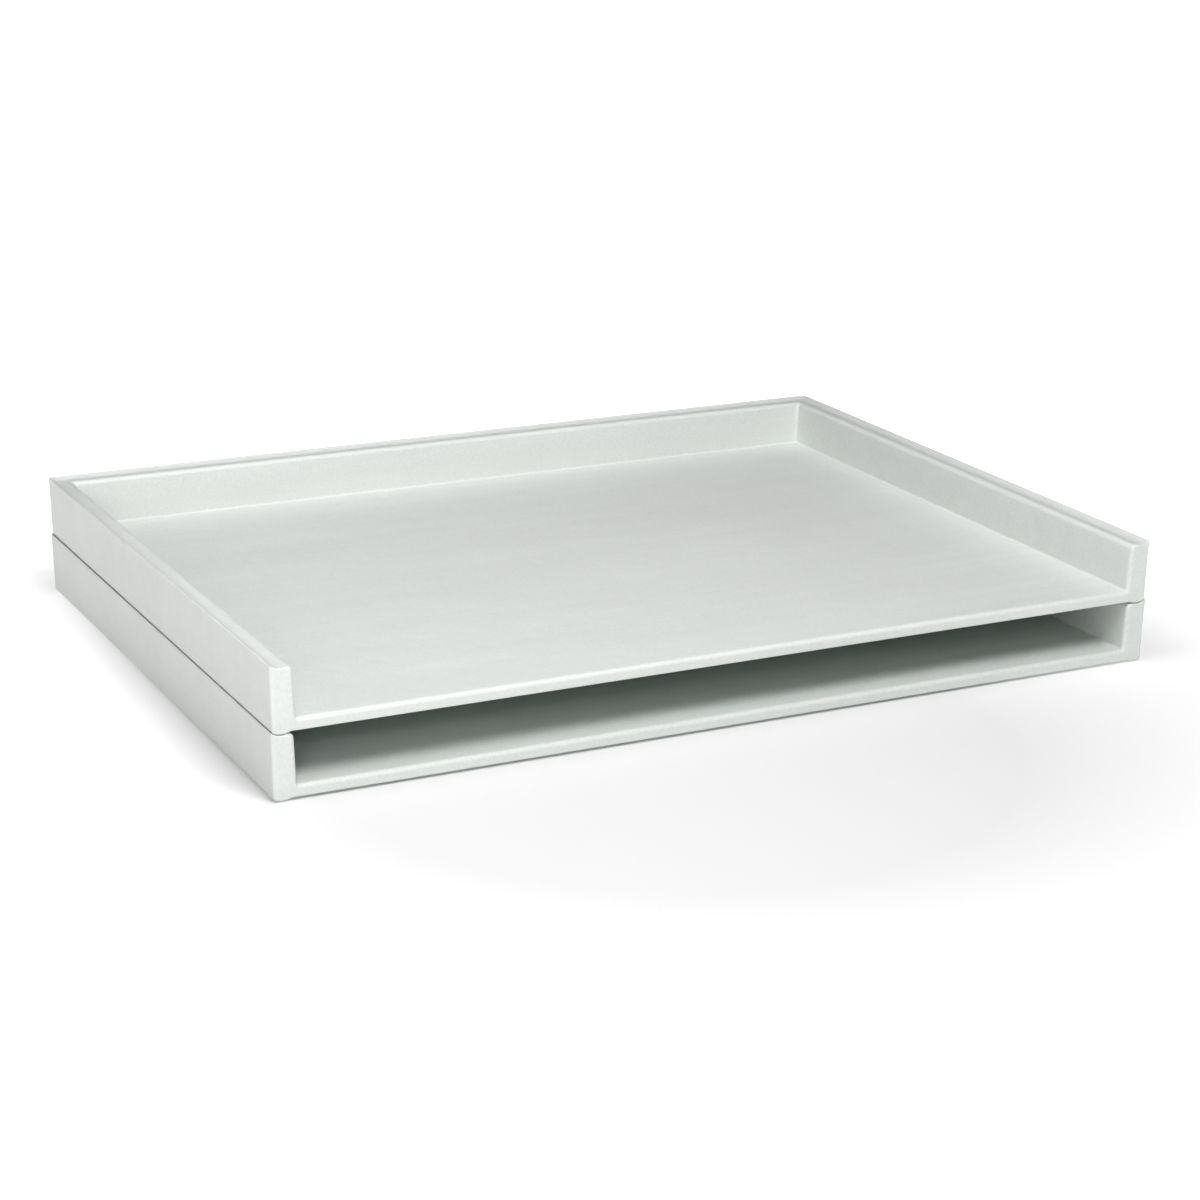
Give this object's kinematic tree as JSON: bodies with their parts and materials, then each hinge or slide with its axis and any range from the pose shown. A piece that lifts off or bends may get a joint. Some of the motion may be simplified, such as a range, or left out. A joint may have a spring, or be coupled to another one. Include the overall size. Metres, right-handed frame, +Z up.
{
  "type": "stacking document tray",
  "caption": "Nesting large-format document trays of hollow double-wall plastic, open at the front, with channelled rails that hold the tray above.",
  "frame": {"origin": "on the desk, under the middle of the stack's bounding box", "axes": "+X along the long open front, to the right for someone who faces the open front; +Y from the open front to the back wall; +Z up"},
  "size_m": [1.01, 0.736, 0.137],
  "materials": {
    "inner_sheet": "off-white moulded plastic, satin, with a fine pebble grain",
    "outer_sheet": "off-white moulded plastic, satin, with a fine pebble grain"
  },
  "bodies": {
    "lower_tray": {"lower_tray_base_shell": "outer_sheet", "lower_tray_deck_shell": "inner_sheet"},
    "upper_tray": {"upper_tray_base_shell": "outer_sheet", "upper_tray_deck_shell": "inner_sheet"}
  },
  "joints": [
    {"name": "tray_lift", "type": "slide", "parent": "lower_tray", "child": "upper_tray", "axis": [0, 0, 1], "range_m": [0, 0.15]}
  ]
}
